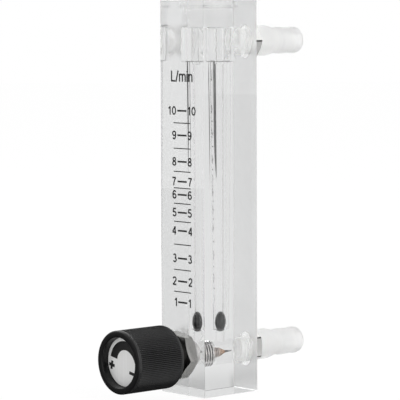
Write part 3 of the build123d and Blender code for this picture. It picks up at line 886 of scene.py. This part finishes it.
# Centre lines of the figures and letters, in units of their height
strokes = {
    "0": [arc(0.34, 0.5, 0.27, 0.43, 0, 360)],
    "1": [[(0.42, 0), (0.42, 1)], [(0.14, 0.76), (0.28, 0.79), (0.37, 0.87), (0.4, 0.98)]],
    "2": [
        arc(0.33, 0.69, 0.25, 0.24, 168, -38) + [(0.12, 0.14), (0.09, 0.05)], [(0.03, 0.07), (0.63, 0.07)],
    ],
    "3": [arc(0.32, 0.735, 0.21, 0.195, 155, -90), arc(0.33, 0.29, 0.255, 0.22, 90, -160)],
    "4": [[(0.48, 0), (0.48, 1)], [(0.47, 0.95), (0.065, 0.33)], [(0.02, 0.285), (0.65, 0.285)]],
    "5": [
        [(0.6, 0.93), (0.13, 0.93)], [(0.165, 0.95), (0.105, 0.5)], arc(0.33, 0.32, 0.26, 0.25, 138, -158),
    ],
    "6": [arc(0.345, 0.31, 0.255, 0.24, 0, 360), arc(0.36, 0.5, 0.275, 0.43, 42, 195)],
    "7": [[(0.03, 0.93), (0.64, 0.93)], [(0.6, 0.92), (0.42, 0.64), (0.3, 0.34), (0.26, 0)]],
    "8": [arc(0.34, 0.74, 0.21, 0.19, 0, 360), arc(0.34, 0.285, 0.26, 0.215, 0, 360)],
    "9": [arc(0.335, 0.69, 0.255, 0.24, 0, 360), arc(0.32, 0.5, 0.275, 0.43, 222, 375)],
    "unit": [
        [(0.075, 0), (0.075, 1)], [(0.075, 0.065), (0.56, 0.065)], [(0.63, -0.02), (0.9, 1.02)],
        [(1.08, 0), (1.08, 0.74)], arc(1.255, 0.5, 0.175, 0.185, 180, 0) + [(1.43, 0)],
        arc(1.605, 0.5, 0.175, 0.185, 180, 0) + [(1.78, 0)], [(2.01, 0), (2.01, 0.74)],
        [(2.01, 0.87), (2.01, 1)], [(2.24, 0), (2.24, 0.74)],
        arc(2.43, 0.5, 0.19, 0.185, 180, 0) + [(2.62, 0)],
    ],
}


# A stroke: a flat ribbon with the ink's thickness, set off to both sides of its centre line
def strokeMesh(line, width, place):
    line = np.array(line, float)
    closed = np.allclose(line[0], line[-1])
    line = line[:-1] if closed else line
    along = np.roll(line, -1, 0) - np.roll(line, 1, 0) if closed else np.gradient(line, axis=0)
    along /= np.linalg.norm(along, axis=1, keepdims=True)
    out = np.column_stack([-along[:, 1], along[:, 0]]) * width / 2
    rails = [(line + out * offset, depth) for offset, depth in ((1, 0), (-1, 0), (-1, 1), (1, 1))]
    grid = np.stack([place(rail, depth) for rail, depth in rails])
    if closed:
        return skin("stroke", np.concatenate([grid, grid[:1]]), crisp=20)
    return skin("stroke", grid.transpose(1, 0, 2), caps=True, crisp=20)


# Sets strokes on the front face: scaled to a height and width, and moved to a corner or a middle
def setStrokes(lines, width, height, x, z, acrossScale=None):
    acrossScale = acrossScale or height

    def place(rail, depth):
        return np.column_stack([
            x + rail[:, 0] * acrossScale, np.full(len(rail), front - depth * scale["ink"]),
            z + rail[:, 1] * height,
        ])

    return [strokeMesh(line, width, place) for line in lines]


# A number's strokes, side by side, and the widths that they take up
def numberStrokes(number):
    lines = [[(px + place * scale["pitch"], pz) for px, pz in line]
             for place, figure in enumerate(str(number)) for line in strokes[figure]]
    across = np.concatenate([np.array(line)[:, 0] for line in lines])
    return lines, across.min() - scale["stroke"] / 2, across.max() + scale["stroke"] / 2


figures = []
for litre, rise in enumerate(scale["rises"], start=1):
    lines, low, high = numberStrokes(litre)
    tall, bottom = scale["figureHeight"], block["seat"] + rise - scale["figureHeight"] / 2
    for x in (scale["innerLeft"] - high * tall, scale["innerRight"] - low * tall):
        figures += setStrokes(lines, scale["stroke"], tall, x, bottom)
unitX, unitZ = scale["unitMiddle"]
figures += setStrokes(
    strokes["unit"], scale["unitStroke"], scale["unitHeight"], unitX - scale["unitWidth"] / 2,
    unitZ - scale["unitHeight"] / 2, scale["unitWidth"] / scale["unitReach"],
)
addPiece("scaleFigures", joined("scaleFigures", figures), "meter_body", "ink", ink)
print("figures printed")

# CAD nodes that stay, with their finishes
for node, material in (("scale_marks", ink), ("knob_screw", steel)):
    slots = frame["nodes"][node].data.materials
    slots.clear()
    slots.append(material)

# Stage: a pale floor that the camera, gloss and glass see as white, and a white world. Tones are for gloss
# and glass, ranges of the floor in metres
stage = {
    "floorRadius": 3.0, "floorDrop": 0.05, "floorColor": 0.8, "floorRoughness": 0.8, "glow": 0.9,
    "glowStrength": 1.04, "worldWhite": 1.0, "worldLight": 0.7, "brightSide": 137.7, "dimSide": 0.35,
    "dimRange": (-0.8, -0.1), "nearTone": 0.65, "nearRange": (0.018, 0.06), "litTone": 0.92,
    "litMiddle": -0.0045, "litHalf": (0.0045, 0.006),
}


def shinyRays(tree):
    path = addNode(tree, "LightPath").outputs
    direct = mathSocket(tree, "MAXIMUM", path["Is Camera Ray"], path["Is Glossy Ray"])
    return mathSocket(tree, "MAXIMUM", direct, path["Is Transmission Ray"])


# The camera sees plain white where gloss and glass see the tone
def cameraWhite(tree, tone, white):
    isCamera = addNode(tree, "LightPath").outputs["Is Camera Ray"]
    return addNode(tree, "Mix", {"Factor": isCamera, "A": tone, "B": white}).outputs["Result"]


# Gloss and glass see the studio: white towards the given direction, greyer away from it
def studioTone(tree):
    direction = addNode(tree, "TexCoord").outputs["Generated"]
    angle = math.radians(stage["brightSide"])
    toward = vectorSocket(tree, "DOT_PRODUCT", direction, (math.cos(angle), math.sin(angle), 0), "Value")
    tone = ramp(tree, toward, stage["dimRange"], (stage["dimSide"], stage["worldWhite"]), soft=True)
    return cameraWhite(tree, tone, stage["worldWhite"])


world = bpy.data.worlds.new("studio")
bpy.context.scene.world = world
world.use_nodes = True
worldTree = world.node_tree
background = worldTree.nodes["Background"]
background.inputs["Color"].default_value = (1, 1, 1, 1)
worldStrength = ramp(worldTree, shinyRays(worldTree), (0, 1), (stage["worldLight"], studioTone(worldTree)))
worldTree.links.new(worldStrength, background.inputs["Strength"])


# Close to the piece the floor lies in its shade, as gloss and glass show it, but for a lit band behind it
def floorTone(tree):
    place = objectPlace(tree)
    angle = math.radians(stage["brightSide"] - 180)
    across = vectorSocket(tree, "DOT_PRODUCT", place, (-math.sin(angle), math.cos(angle), 0), "Value")
    away = mathSocket(tree, "ABSOLUTE", mathSocket(tree, "SUBTRACT", across, stage["litMiddle"]))
    near = ramp(tree, away, stage["litHalf"], (stage["litTone"], stage["nearTone"]))
    reach = vectorSocket(tree, "LENGTH", place, output="Value")
    tone = ramp(tree, reach, stage["nearRange"], (near, stage["glowStrength"]), soft=True)
    return cameraWhite(tree, tone, stage["glowStrength"])


floorMaterial, floorTree, floorShader = newMaterial(
    "floorPaper", (stage["floorColor"],) * 3, stage["floorRoughness"])
floorGlow = addNode(floorTree, "Emission", {"Strength": floorTone(floorTree)})
floorShare = mathSocket(floorTree, "MULTIPLY", shinyRays(floorTree), stage["glow"])
mixSurface(floorTree, floorShader, floorGlow, floorShare)

floorAngle = angles(64)
floorRadii = np.array([[0.0], [stage["floorRadius"] / mm]])
floorPoints = np.stack([
    floorRadii * np.cos(floorAngle), floorRadii * np.sin(floorAngle),
    0 * floorRadii * floorAngle - stage["floorDrop"],
], -1)
floorMesh = skin("floor", floorPoints)
floorMesh.flip_normals()
floorMesh.materials.append(floorMaterial)
floor = looseObject("floor", floorMesh)

# Two soft lamps, in metres, that look at the piece's middle
lamps = {"keyLamp": (0.8, -0.1, 0.35), "fillLamp": (-0.8, -0.3, 0.8)}
lampLook = {"target": (0, 0, 0.06), "size": 0.6, "power": 3.0}
for lampName, lampPlace in lamps.items():
    lampData = bpy.data.lights.new(lampName, "AREA")
    lampData.shape, lampData.size, lampData.energy = "DISK", lampLook["size"], lampLook["power"]
    lamp = looseObject(lampName, lampData)
    lamp.location = lampPlace
    lamp.rotation_euler = (Vector(lampLook["target"]) - lamp.location).to_track_quat("-Z", "Y").to_euler()

# Sheets that lie on the floor, out of the camera's sight, as painted reflections. Glass shows the far one,
# which draws the dark lines in the tube's wall. Gloss shows the others: the ones in front of and under the
# knob keep it black, and the grey one behind the piece is seen in the nuts. Each has a tone, a height,
# corners by direction from +X towards +Y and distance, and is seen in glass or in gloss
sheets = {
    "farSheet": (0.02, 1, [(-191, 760), (-152, 1100), (-152, 2900), (-191, 2900)], True),
    "glossSheet": (0.02, 0.5, [(-165, 70), (-105, 70), (-115, 900), (-160, 900)], False),
    "backSheet": (0.5, 0.5, [(20, 80), (20, 2900), (85, 2900), (85, 80)], False),
    "underSheet": (0.05, 0.4, [(-122, 94), (-69, 85), (-18, 32), (-166, 51)], False),
}
sheetRoughness = 0.9
for sheetName, (tone, height, corners, inGlass) in sheets.items():
    direction, distance = np.array(corners, float).T
    angle = np.radians(direction)
    places = np.stack([distance * np.cos(angle), distance * np.sin(angle), height + 0 * angle], -1) * mm
    sheetMesh = bpy.data.meshes.new(sheetName)
    sheetMesh.from_pydata(places.tolist(), [], [(0, 1, 2, 3)])
    sheetMesh.materials.append(newMaterial(sheetName, (tone,) * 3, sheetRoughness)[0])
    sheet = looseObject(sheetName, sheetMesh)
    sheet.visible_camera = sheet.visible_shadow = sheet.visible_diffuse = False
    sheet.visible_transmission, sheet.visible_glossy = inGlass, not inGlass

# Camera at the photograph's angle, from the block's edges in it
shot = {
    "azimuth": 47.7212, "elevation": 4.6170, "roll": -0.2326, "distance": 0.739635, "lens": 217.286,
    "across": -0.0027793, "height": 0.0590284, "sensor": 36, "clip": (0.05, 20),
}
azimuth, elevation, roll = (math.radians(shot[key]) for key in ("azimuth", "elevation", "roll"))
level, upward = math.cos(elevation), math.sin(elevation)
toCamera = Vector((math.sin(azimuth) * level, -math.cos(azimuth) * level, upward))
toRight = Vector((math.cos(azimuth), math.sin(azimuth), 0))
toUp = toCamera.cross(toRight)
rightAxis = toRight * math.cos(roll) + toUp * math.sin(roll)
upAxis = toUp * math.cos(roll) - toRight * math.sin(roll)
cameraData = bpy.data.cameras.new("camera")
cameraData.lens, cameraData.sensor_width = shot["lens"], shot["sensor"]
cameraData.clip_start, cameraData.clip_end = shot["clip"]
camera = looseObject("camera", cameraData)
aim = toRight * shot["across"] + Vector((0, 0, shot["height"]))
camera.matrix_world = Matrix.Translation(aim + toCamera * shot["distance"]) @ Matrix(
    (rightAxis, upAxis, toCamera)).transposed().to_4x4()
bpy.context.scene.camera = camera
bpy.context.scene.view_settings.view_transform = "Standard"
print("stage set")
